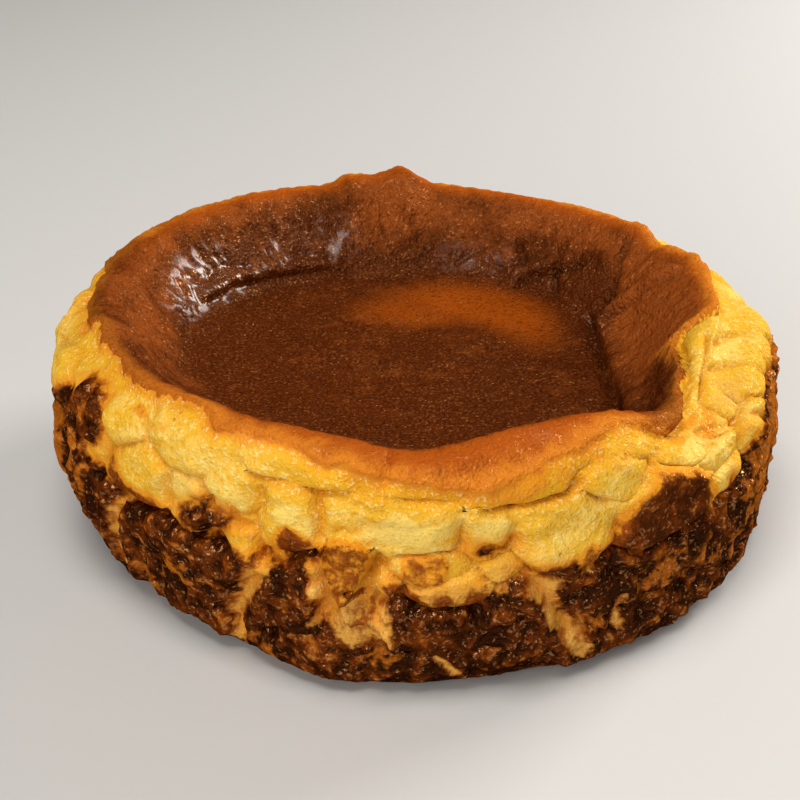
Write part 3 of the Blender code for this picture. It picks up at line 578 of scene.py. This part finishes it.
    # orange, lighter patch of the sunken floor
    "floorGlow": ((150.0, 0.37, 52.0, 0.13, 1.0), (178.0, 0.30, 40.0, 0.12, 0.7)),
}


# The strongest of these spots at each point
def strongest(spots, directions, ways, full):
    strength = np.zeros(len(ways))
    for spot in spots:
        strength = np.maximum(strength, spot[4] * smoothStep(*full, insideOval(directions, ways, spot)))
    return strength


# Millimetres inside the top skin and inside the dark crust, and how toasted, amber or light each point is
def bakeFields(directions, ways, points):
    bake = cakeBake
    form = cakeForm
    across = np.zeros(len(ways))
    along = np.zeros(len(ways))
    for size, reach in bake["edgeRagged"]:
        across = across + reach * swell(points, size, 31.0)
        along = along + reach * swell(points, size, 37.0)
    turned = directions + across / form["mmEachDegree"]
    placed = ways + along / form["mmUpSide"]
    skin = (around(bake["skinEdge"], turned) - placed) * form["mmUpSide"]
    crust = (around(bake["crustTop"], turned) - (2.0 - placed)) * form["mmUpSide"]
    for patch in bake["crustPatches"]:
        inside = insideOval(turned, placed, patch)
        crust = np.maximum(crust, inside * min(patch[2] * form["mmEachDegree"], patch[3] * form["mmUpSide"]))
    warped = smoothBody(turned, np.clip(placed, 0.0, 3.0))
    for halfWidth, line in bake["paleStrips"]:
        crust = np.minimum(crust, awayFrom(warped, line) - halfWidth)
    crust = np.where(ways > 1.93, np.maximum(crust, (ways - 1.93) * form["mmUpSide"]), crust)
    toast = strongest(bake["toastSpots"], turned, placed, (0.0, 0.7))
    for outline, _, _, baked in bake["flaps"]:
        toast = np.maximum(toast, baked * smoothStep(-0.5, 0.5, insideOutline(directions, ways, outline)))
    for outline, baked, wide in bake["toastOutlines"]:
        toast = np.maximum(toast, baked * smoothStep(-0.8, wide, insideOutline(turned, placed, outline)))
    skinToneAndLight = np.zeros(len(ways))
    for spot in bake["skinToneAndLightSpots"]:
        skinToneAndLight = skinToneAndLight + spot[4] * smoothStep(-0.2, 0.8, insideOval(directions, ways, spot))
    return {
        "skinInside": np.clip(skin, -20.0, 20.0),
        "crustInside": np.clip(crust, -20.0, 20.0),
        "toasted": toast,
        "paleAndLit": strongest(bake["paleAndLitSpots"], turned, placed, (0.0, 0.7)),
        "amber": strongest(bake["amberSpots"], turned, placed, (0.0, 0.7)),
        "skinToneAndLight": skinToneAndLight,
        "glow": strongest(bake["floorGlow"], directions, ways, (-0.1, 0.7)),
        "wet": strongest(bake["wetSpots"], directions, ways, (0.0, 0.8)),
        "rimOrange": around(bake["rimOrange"], directions),
        "softEdge": around(bake["softEdge"], directions),
        "underOrange": around(bake["underOrange"], directions),
    }


# Ridges of two sizes, high along thin lines
def crags(points, sizes, seed):
    height = np.zeros(len(points))
    for size, tall in sizes:
        height = height + tall * (0.55 - 2.0 * np.abs(swell(points, size, seed)))
    return height


def cakeShape(directions, ways, normalsOf):
    form = cakeForm
    points = smoothBody(directions, ways)
    normals = normalsOf(points)
    # lumps, swells, the drop under the torn skin, and splits
    outward, hanging, creases = lumpRelief(directions, ways, points)
    side = onSide(ways)
    onTop = smoothStep(1.05, 0.95, ways)
    for size, height in form["sideWaves"]:
        outward = outward + height * side * swell(points, size, 13.0)
    for size, height in form["topWaves"]:
        outward = outward + height * onTop * swell(points, size, 17.0)
    torn = np.zeros(len(ways))
    for start, end in form["skinTorn"]:
        torn = torn + smoothStep(start - 4.0, start, directions) * smoothStep(end + 4.0, end, directions)
    edge = ways + 0.012 * swell(points, 6.0, 21.0)
    outward = outward - form["skinDrop"] * torn * smoothStep(*form["skinDropWays"], edge) * smoothStep(1.2, 1.1, ways)
    sideSplits = splitRelief(points, form["splits"]) * smoothStep(*form["sideEnd"], ways)
    topSplits = splitRelief(points, form["topSplits"]) * onTop
    outward = outward - sideSplits - topSplits
    fields = bakeFields(directions, ways, points)
    skin = fields["skinInside"]
    crust = fields["crustInside"]
    print("bakes laid out")

    # crumb and folds of the curd, crags of the crust
    onCrust = smoothStep(-1.0, 1.5, crust) * smoothStep(2.0, -1.0, skin)
    onCurd = smoothStep(1.0, -1.0, skin) * (1.0 - onCrust)
    for size, height in form["curdCrumb"]:
        outward = outward + height * onCurd * swell(points, size, 41.0)
    torn = np.stack([
        np.radians(directions) * form["sideRadius"] * form["curdFoldStretch"] + 2.0 * swell(points, 9.0, 81.0),
        ways * form["mmUpSide"] + 3.0 * swell(points, 13.0, 83.0),
        1.5 * swell(points, 7.0, 85.0),
    ], axis=1)
    outward = outward - onCurd * side * crags(torn, form["curdFolds"], 87.0)
    outward = outward - outward * form["crustFlatter"] * onCrust * side
    ridges = crags(points, form["crustCrags"], 43.0) * onCrust
    outward = outward + ridges * smoothStep(1.985, 1.90, ways)
    # the curd sinks beside the torn skin, and the skin is a sheet that lifts at its edge
    deep, wide, start, end = form["tornHollow"]
    hollow = smoothStep(start - 4.0, start, directions) * smoothStep(end + 4.0, end, directions)
    outward = outward - deep * hollow * smoothStep(0.4, -0.4, skin) * np.exp(-((skin + 0.5) / wide) ** 2)
    outward = outward + smoothStep(0.72, 0.82, ways) * smoothStep(-0.4, 0.6, skin) * (
        form["skinThick"] + form["skinLift"] * np.exp(-((skin - 1.4) / 1.2) ** 2)
    )
    # upright folds and the thickness of the crust, then the loose flaps
    folded = np.stack([
        np.radians(directions) * form["sideRadius"] + 2.5 * swell(points, 11.0, 67.0),
        ways * form["mmUpSide"] / form["crustFoldStretch"],
        1.5 * swell(points, 7.0, 71.0),
    ], axis=1)
    away = smoothStep(24.0, 44.0, np.abs(directions)) * smoothStep(1.97, 1.85, ways)
    outward = outward + away * onCrust * crags(folded, form["crustFolds"], 73.0)
    outward = outward + side * (
        onCrust * (form["crustThick"] + form["crustLift"] * np.exp(-((crust - 2.0) / 1.6) ** 2))
        - form["crustSettle"] * smoothStep(-4.0, 3.0, crust)
    )
    for outline, rise, lift, _ in cakeBake["flaps"]:
        inside = insideOutline(directions, ways, outline)
        outward = outward + smoothStep(-0.5, 0.7, inside) * (rise + lift * np.exp(-((inside - 0.9) / 0.9) ** 2))
    # grain of the rim and wrinkles of the wall, deeper where it is wet
    rimBand = smoothStep(0.84, 0.93, ways) * smoothStep(-1.0, 1.0, skin)
    for size, height in form["rimGrain"]:
        outward = outward + height * rimBand * swell(points, size, 61.0)
    warpSize, warpReach = form["wrinkleWarp"]
    bend = warpReach * swell(points, warpSize, 53.0)
    drawn = np.stack([
        np.radians(directions) * form["wallRadius"] + bend,
        ways * form["mmUpSide"] / form["wrinkleStretch"],
        bend * 0.3,
    ], axis=1)
    wall = smoothStep(0.50, 0.60, ways) * smoothStep(0.98, 0.85, ways)
    worn = 0.35 + 0.65 * smoothStep(-0.25, 0.3, swell(points, 14.0, 59.0))
    worn = worn + form["wetWrinkles"] * fields["wet"]
    outward = outward + wall * worn * crags(drawn, form["wallWrinkles"], 47.0)

    # drooping lumps hang straight down, and the cake stands on its flat underside
    moved = points + normals * outward[:, None]
    moved[:, 2] = np.where(ways < 2.0, np.maximum(moved[:, 2] - hanging, 0.4), 0.0)
    middle = (moved.min(axis=0) + moved.max(axis=0)) / 2.0
    moved[:, :2] -= middle[:2]
    # height of the crags, also used to paint light onto the crust's ridges
    fields["ridge"] = ridges
    # depth of the creases and splits, used to paint shade into them
    fields["creaseShade"] = np.clip(creases * 0.8 + np.clip(sideSplits + topSplits, 0.0, 4.0) / 3.0, 0.0, 1.0)
    fields["wall"] = wall
    fields["wayAlong"] = ways
    return moved, fields


def sectionWays():
    return np.concatenate([
        np.linspace(start, end, count, endpoint=end == 3.0) for start, end, count in cakeForm["rings"]
    ])


# The section turned once round the upright axis
def turnedBody(ways):
    form = cakeForm
    section = smoothBody(np.zeros(len(ways)), ways) / 1000.0
    outline = bpy.data.meshes.new("section")
    corners = [(-point[1], 0.0, point[2]) for point in section]
    outline.from_pydata(corners, [(index, index + 1) for index in range(len(corners) - 1)], [])
    blank = bpy.data.objects.new("section", outline)
    bpy.context.scene.collection.objects.link(blank)
    turn = blank.modifiers.new("turn", "SCREW")
    turn.steps = form["turnSteps"]
    turn.render_steps = form["turnSteps"]
    turn.use_merge_vertices = True
    turn.merge_threshold = form["seamMerge"]
    graph = bpy.context.evaluated_depsgraph_get()
    body = bpy.data.meshes.new_from_object(blank.evaluated_get(graph))
    bpy.data.objects.remove(blank)
    bpy.data.meshes.remove(outline)
    return body


def makeCake():
    ways = sectionWays()
    body = turnedBody(ways)
    count = len(body.vertices)
    turned = np.empty(count * 3)
    body.vertices.foreach_get("co", turned)
    turned = turned.reshape(-1, 3) * 1000.0
    section = smoothBody(np.zeros(len(ways)), ways)
    radius = np.hypot(turned[:, 0], turned[:, 1])
    gap = np.hypot(radius[:, None] + section[None, :, 1], turned[:, 2, None] - section[None, :, 2])
    vertexWays = ways[np.argmin(gap, axis=1)]
    directions = np.degrees(np.arctan2(turned[:, 0], -turned[:, 1]))

    def putPoints(points):
        body.vertices.foreach_set("co", (points / 1000.0).ravel())
        body.update()

    def normalsOf(points):
        putPoints(points)
        normals = np.empty(count * 3)
        body.vertex_normals.foreach_get("vector", normals)
        return normals.reshape(-1, 3)

    points, fields = cakeShape(directions, vertexWays, normalsOf)
    putPoints(points)
    for name, values in fields.items():
        layer = body.attributes.new(name, "FLOAT", "POINT")
        layer.data.foreach_set("value", values.astype(np.float32))
    body.name = "cakeSurface"
    body.shade_smooth()
    cake = bpy.data.objects.new("cakeSurface", body)
    bpy.context.scene.collection.objects.link(cake)
    print("cake shaped,", len(body.polygons), "faces")
    return cake


# A shader socket that Python arithmetic can work on
class Socket:
    def __init__(self, shader, link):
        self.shader = shader
        self.link = link

    def math(self, operation, *others):
        return self.shader.node("Math", {"operation": operation}, [self, *others])

    def __add__(self, other):
        return self.math("ADD", other)

    def __radd__(self, other):
        return self.math("ADD", other)

    def __sub__(self, other):
        return self.math("SUBTRACT", other)

    def __rsub__(self, other):
        return self.shader.node("Math", {"operation": "SUBTRACT"}, [other, self])

    def __mul__(self, other):
        return self.math("MULTIPLY", other)

    def __rmul__(self, other):
        return self.math("MULTIPLY", other)


# A material's node tree, filled from Python
class Shader:
    def __init__(self, name):
        self.material = bpy.data.materials.new(name)
        self.material.use_nodes = True
        self.tree = self.material.node_tree
        self.surface = self.tree.nodes["Principled BSDF"]
        self.base = Socket(self, self.surface.outputs["BSDF"])
        self.output = self.tree.nodes["Material Output"].inputs["Surface"]

    def put(self, socket, value):
        if isinstance(value, Socket):
            self.tree.links.new(value.link, socket)
        else:
            socket.default_value = value

    def node(self, kind, settings=None, values=None, output=0):
        node = self.tree.nodes.new("ShaderNode" + kind)
        for name, setting in (settings or {}).items():
            setattr(node, name, setting)
        pairs = values.items() if isinstance(values, dict) else enumerate(values or [])
        for name, value in pairs:
            self.put(node.inputs[name], value)
        return Socket(self, node.outputs[output])

    def field(self, name):
        return self.node("Attribute", {"attribute_name": name}, output="Fac")

    # 0 before start, 1 after end
    def step(self, start, end, value):
        return self.node(
            "MapRange", {"interpolation_type": "SMOOTHSTEP"}, [value, start, end, 0.0, 1.0]
        )

    def mix(self, amount, first, second):
        return self.node("Mix", {"data_type": "RGBA"}, {0: amount, 6: first, 7: second}, 2)

    # noise in the cake's own space, size in millimetres
    def grain(self, size, detail, rough, stretch=None):
        place = self.node("TexCoord", output="Object")
        if stretch:
            place = self.node("Mapping", None, {"Vector": place, "Scale": stretch})
        return self.node(
            "TexNoise", None,
            {"Vector": place, "Scale": 1000.0 / size, "Detail": detail, "Roughness": rough}, "Fac"
        )

    # distance from the middle of the nearest cell, size in millimetres
    def cells(self, size):
        place = self.node("TexCoord", output="Object")
        return self.node("TexVoronoi", None, {"Vector": place, "Scale": 1000.0 / size}, "Distance")

    def bump(self, height, distance):
        values = {"Height": height, "Distance": distance / 1000.0, "Strength": 1.0}
        return self.node("Bump", None, values, "Normal")


# Grain of the cake's materials, size in millimetres, then detail and roughness of the noise
cakeGrain = {
    "broad": (22.0, 2.0, 0.5),
    "patchy": (7.0, 3.0, 0.6),
    "medium": (3.6, 2.0, 0.6),
    "fine": (1.9, 2.0, 0.6),
    "tiny": (0.75, 1.0, 0.5),
    "glints": (1.2, 1.0, 0.5),
    "creased": (2.6, 2.0, 0.6, (1.0, 1.0, 0.55)),
    "pebbles": 1.2,
    "pores": 3.4,
    "paintedGlintDots": 1.9,
}

cakeGloss = {
    "tint": (1.0, 0.50, 0.20, 1.0),
    "roughness": 0.24,
    "coatRoughness": 0.22,
    "underLight": 0.08,
    "underLightReach": (1.0, 0.45, 0.12),
    "underLightScale": 0.0025,
}

# Colours of the bakes and the curd
cakeColours = {
    "curd": (0.77, 0.42, 0.030, 1.0),
    "curdDeep": (0.79, 0.36, 0.008, 1.0),
    # paler curd, partly painted light on the lump tops
    "curdPaleAndLit": (0.85, 0.59, 0.125, 1.0),
    # painted glint colour of the curd
    "paintedCurdGlint": (0.93, 0.76, 0.30, 1.0),
    "golden": (0.72, 0.26, 0.014, 1.0),
    "toast": (0.17, 0.031, 0.003, 1.0),
    "toastLight": (0.38, 0.088, 0.006, 1.0),
    "crust": (0.020, 0.0032, 0.0005, 1.0),
    "crustBrown": (0.130, 0.023, 0.0018, 1.0),
    "amber": (0.42, 0.11, 0.007, 1.0),
    "fleckAndGlint": (0.55, 0.20, 0.035, 1.0),
    "strip": (0.72, 0.44, 0.12, 1.0),
    "skin": (0.085, 0.0165, 0.0028, 1.0),
    "skinLight": (0.28, 0.062, 0.009, 1.0),
    "speckAndGlint": (0.28, 0.085, 0.018, 1.0),
    "paintedGlint": (0.50, 0.24, 0.11, 1.0),
    "skinGlow": (0.39, 0.072, 0.003, 1.0),
    "skinRim": (0.42, 0.082, 0.006, 1.0),
    "skinEdge": (0.70, 0.22, 0.018, 1.0),
    # painted shade colour for the curd's creases, also its dark flecks
    "fold": (0.62, 0.22, 0.008, 1.0),
}


def cakeMaterial():
    shader = Shader("bakedCheesecake")
    colours = cakeColours
    skinInside = shader.field("skinInside")
    crustInside = shader.field("crustInside")
    toasted = shader.field("toasted")
    amber = shader.field("amber")
    creaseShade = shader.field("creaseShade")
    wall = shader.field("wall")
    way = shader.field("wayAlong")

    grains = cakeGrain
    broad = shader.grain(*grains["broad"]) - 0.5
    patchy = shader.grain(*grains["patchy"]) - 0.5
    medium = shader.grain(*grains["medium"]) - 0.5
    fine = shader.grain(*grains["fine"]) - 0.5
    tiny = shader.grain(*grains["tiny"]) - 0.5
    creased = shader.grain(*grains["creased"]) - 0.5
    pebbles = shader.cells(grains["pebbles"])
    pores = shader.step(0.15, 0.06, shader.cells(grains["pores"])) * shader.step(0.0, 0.2, broad + patchy)

    # curd: paler in patches and on the tops of the lumps, partly painted light there, deeper under the skin, with
    # painted shade in its creases and pores, and light and dark flecks
    curd = shader.mix(
        shader.step(-0.12, 0.55, broad * 1.8 + patchy * 1.3 + fine * 0.9 + shader.field("paleAndLit")),
        colours["curd"], colours["curdPaleAndLit"]
    )
    nearSkin = shader.step(-10.0, -1.0, skinInside + patchy * 9.0)
    curd = shader.mix(nearSkin * 0.70, curd, colours["curdDeep"])
    underSkin = shader.step(-4.4, 0.6, skinInside + patchy * 7.0 + fine * 3.5)
    curd = shader.mix(underSkin * 0.8 * shader.field("underOrange"), curd, colours["skinEdge"])
    low = shader.step(1.42, 1.54, way + patchy * 0.10)
    curd = shader.mix(low * 0.8, curd, colours["strip"])
    # painted shade: the curd darkens in its creases
    curd = shader.mix(creaseShade * 0.75, curd, colours["fold"])
    # painted shade: the pores are darker
    curd = shader.mix(pores * 0.5, curd, colours["golden"])
    # painted glints: small light flecks on the curd
    curd = shader.mix(shader.step(0.08, 0.22, tiny + fine * 0.6) * 0.45, curd, colours["paintedCurdGlint"])
    curd = shader.mix(shader.step(-0.10, -0.26, tiny * 0.8 + fine * 0.8) * 0.35, curd, colours["fold"])

    # the bake creeps in from the crust, first golden and then brown, and sits in spots
    ragged = patchy * 6.0 + fine * 4.5
    goldenBake = shader.step(-5.5, -0.5, crustInside + ragged).math(
        "MAXIMUM", shader.step(0.20, 0.55, toasted + patchy * 0.8 + fine * 0.6)
    )
    brownBake = shader.step(-2.0, 0.4, crustInside + ragged).math(
        "MAXIMUM", shader.step(0.62, 1.05, toasted + patchy * 1.2 + fine * 1.0)
    )
    side = shader.mix(goldenBake * (0.9 - low * 0.45), curd, colours["golden"])
    toastMix = shader.mix(
        shader.step(-0.18, 0.22, patchy + fine * 0.8 - toasted * 0.08), colours["toast"], colours["toastLight"]
    )
    side = shader.mix(brownBake, side, toastMix)

    # dark crust, with brown and amber where it is thin, lighter on its ridges partly as painted light, and tan flecks
    # that are partly painted glints
    crustMix = shader.mix(
        shader.step(-0.10, 0.20, patchy * 0.7 + medium * 0.8 + shader.field("ridge") * 0.16),
        colours["crust"], colours["crustBrown"]
    )
    amberMix = shader.step(0.20, 0.60, amber * 0.6 + patchy * 1.1 + medium * 1.3 + shader.field("ridge") * 0.25)
    crustMix = shader.mix(amberMix * 0.9, crustMix, colours["amber"])
    flecksAndGlints = shader.step(0.16, 0.34, fine + medium * 0.9 + shader.field("ridge") * 0.12)
    crustMix = shader.mix(flecksAndGlints * 0.6, crustMix, colours["fleckAndGlint"])
    inCrust = shader.step(-0.4, 0.8, crustInside + patchy * 3.0 + fine * 3.5).math(
        "MAXIMUM", shader.step(0.85, 1.50, toasted + patchy * 1.4 + medium * 1.2) * 0.85
    )
    side = shader.mix(inCrust, side, crustMix)

    # top skin: dark in the hollow, lighter on the wall, partly painted light there, orange over the rim and at its
    # torn edge, with painted shade in its creases and painted glints
    skinToneAndLight = shader.field("skinToneAndLight") + broad * 1.4 + patchy * 1.4 + medium * 0.6 + creased * wall * 0.8
    skinMix = shader.mix(shader.step(-0.1, 1.0, skinToneAndLight), colours["skin"], colours["skinLight"])
    skinMix = shader.mix(shader.field("glow") * 0.9, skinMix, colours["skinGlow"])
    rimMix = shader.step(0.88, 0.99, way + patchy * 0.06) * shader.field("rimOrange")
    skinMix = shader.mix(rimMix, skinMix, colours["skinRim"])
    edgeMix = shader.step(8.0, 0.5, skinInside + patchy * 6.0 + fine * 4.0)
    edgeMix = edgeMix * (0.35 + 0.55 * shader.field("rimOrange"))
    skinMix = shader.mix(edgeMix, skinMix, colours["skinEdge"])
    edgeLine = shader.step(1.7, 0.5, skinInside + fine * 1.5) * (1.0 - shader.field("rimOrange") * 0.75)
    skinMix = shader.mix(edgeLine * 0.5, skinMix, colours["skinRim"])
    # painted shade: the skin darkens in its creases
    skinMix = shader.mix(creaseShade * (1.0 - rimMix) * 0.75, skinMix, colours["crust"])
    # grit: light specks, partly painted glints, and dark specks
    grit = tiny + fine * 0.4
    speckled = 0.50 - wall * 0.25 - edgeMix * 0.35
    skinMix = shader.mix(shader.step(0.06, 0.24, grit) * speckled, skinMix, colours["speckAndGlint"])
    skinMix = shader.mix(shader.step(-0.03, -0.20, grit) * speckled * (1.0 - rimMix), skinMix, colours["crust"])
    # painted glints: small light dots on the skin
    paintedGlintDots = shader.step(0.17, 0.07, shader.cells(grains["paintedGlintDots"])) * shader.step(-0.08, 0.12, patchy + fine)
    skinMix = shader.mix(paintedGlintDots * (1.0 - rimMix) * 0.65, skinMix, colours["paintedGlint"])
    soft = shader.field("softEdge")
    wander = fine * 3.0 + (tiny + patchy) * (0.6 + soft * 1.6)
    inSkin = shader.step(-0.25 - soft, 0.25 + soft * 0.8, skinInside + wander)
    colour = shader.mix(inSkin, side, skinMix)

    # gloss: moist curd, oily crust with glints, wet patches on the wall
    wet = shader.field("wet")
    rough = 0.38 + fine * 0.40 - inCrust * 0.12 - wet * 0.10
    glints = shader.step(0.08, 0.20, shader.grain(*grains["glints"]) - 0.5 + tiny * 0.3 + patchy * 0.3)
    coat = inSkin * wet * shader.step(-0.28, 0.0, patchy + fine * 0.8)
    sheen = 0.016 + wet * 0.02 + glints * (0.09 + inCrust * 0.12 - inSkin * 0.03 + wet * 0.12)

    # relief in millimetres: pebbled skin, creased wall, crumb of the curd, blistered crust
    skinHeight = tiny * 0.60 - pebbles * 0.30 + creased * (0.3 + wall * 1.5)
    crustHeight = fine * 1.0 + medium * 1.2 - pebbles * 0.25 - patchy.math("ABSOLUTE") * 1.6 + tiny * 0.3
    curdHeight = fine * 0.55 + medium * 0.5 + tiny * 0.35 - pores * 0.4
    height = skinHeight * inSkin + (crustHeight * inCrust + curdHeight * (1.0 - inCrust)) * (1.0 - inSkin)

    gloss = cakeGloss
    bumped = shader.bump(height, 1.0)
    surface = shader.surface.inputs
    shader.put(surface["Base Color"], colour)
    shader.put(surface["Roughness"], rough)
    shader.put(surface["Coat Weight"], coat)
    shader.put(surface["Normal"], bumped)
    surface["Coat Roughness"].default_value = gloss["coatRoughness"]
    surface["Specular IOR Level"].default_value = 0.0
    surface["Subsurface Weight"].default_value = gloss["underLight"]
    surface["Subsurface Radius"].default_value = gloss["underLightReach"]
    surface["Subsurface Scale"].default_value = gloss["underLightScale"]
    # the bake's fat shines warm, so its glossy part has a tint of its own
    oily = shader.node(
        "BsdfAnisotropic", None, {"Color": gloss["tint"], "Roughness": gloss["roughness"], "Normal": bumped}
    )
    shader.put(shader.output, shader.node("MixShader", None, {0: sheen, 1: shader.base, 2: oily}))
    return shader.material


cake = makeCake()
cake.data.materials.clear()
cake.data.materials.append(cakeMaterial())
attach(cake, "root")
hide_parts("cheesecake")
print("cake finished")

# Floor, light and camera
stageSetup = {
    "floorSize": 6.0,
    "floorColour": (0.62, 0.61, 0.595, 1.0),
    "floorShade": (0.5952, 0.5856, 0.5712, 1.0),
    "skyColour": (1.0, 0.98, 0.95, 1.0),
    "skyStrength": 0.10,
    "floorGrain": (3.0, 3.0, 0.5),
    "floorRoughness": 0.7,
    "lightAim": (0.0, 0.0, 0.04),
    "lights": (
        # name, place, size, strength, colour
        ("lowBehind", (0.85, 0.58, 0.46), 0.45, 12.0, (1.0, 0.96, 0.91)),
        ("softAbove", (-0.10, -0.40, 1.25), 0.6, 11.5, (1.0, 0.97, 0.93)),
        ("softFront", (-0.45, -1.05, 0.50), 0.9, 8.5, (1.0, 0.98, 0.95)),
    ),
    "cameraPlace": (-0.003569, -0.388992, 0.244444),
    "cameraDown": 28.7,
    "fieldOfView": 28.0,
}


def makeStage():
    setup = stageSetup
    bpy.ops.mesh.primitive_plane_add(size=setup["floorSize"])
    floor = bpy.context.object
    floor.name = "paleFloor"
    shader = Shader("paleFloor")
    grain = shader.grain(*setup["floorGrain"]) - 0.5
    tint = shader.mix(0.5 + grain * 0.3, setup["floorColour"], setup["floorShade"])
    shader.put(shader.surface.inputs["Base Color"], tint)
    shader.surface.inputs["Roughness"].default_value = setup["floorRoughness"]
    floor.data.materials.append(shader.material)
    for name, place, size, strength, colour in setup["lights"]:
        lamp = bpy.data.lights.new(name, "AREA")
        lamp.size = size
        lamp.energy = strength
        lamp.color = colour
        holder = bpy.data.objects.new(name, lamp)
        holder.location = place
        facing = Vector(place) - Vector(setup["lightAim"])
        holder.rotation_euler = facing.to_track_quat("Z", "Y").to_euler()
        bpy.context.scene.collection.objects.link(holder)
    world = bpy.data.worlds.new("softSky")
    world.use_nodes = True
    world.node_tree.nodes["Background"].inputs["Color"].default_value = setup["skyColour"]
    world.node_tree.nodes["Background"].inputs["Strength"].default_value = setup["skyStrength"]
    bpy.context.scene.world = world
    print("floor and lights set")


def makeCamera():
    setup = stageSetup
    lens = bpy.data.cameras.new("photoView")
    lens.sensor_width = 36.0
    lens.lens = 18.0 / math.tan(math.radians(setup["fieldOfView"] / 2.0))
    camera = bpy.data.objects.new("photoView", lens)
    camera.location = setup["cameraPlace"]
    camera.rotation_euler = (math.radians(90.0 - setup["cameraDown"]), 0.0, 0.0)
    bpy.context.scene.collection.objects.link(camera)
    bpy.context.scene.camera = camera
    bpy.context.scene.view_settings.view_transform = "Standard"
    print("camera set")


makeStage()
makeCamera()
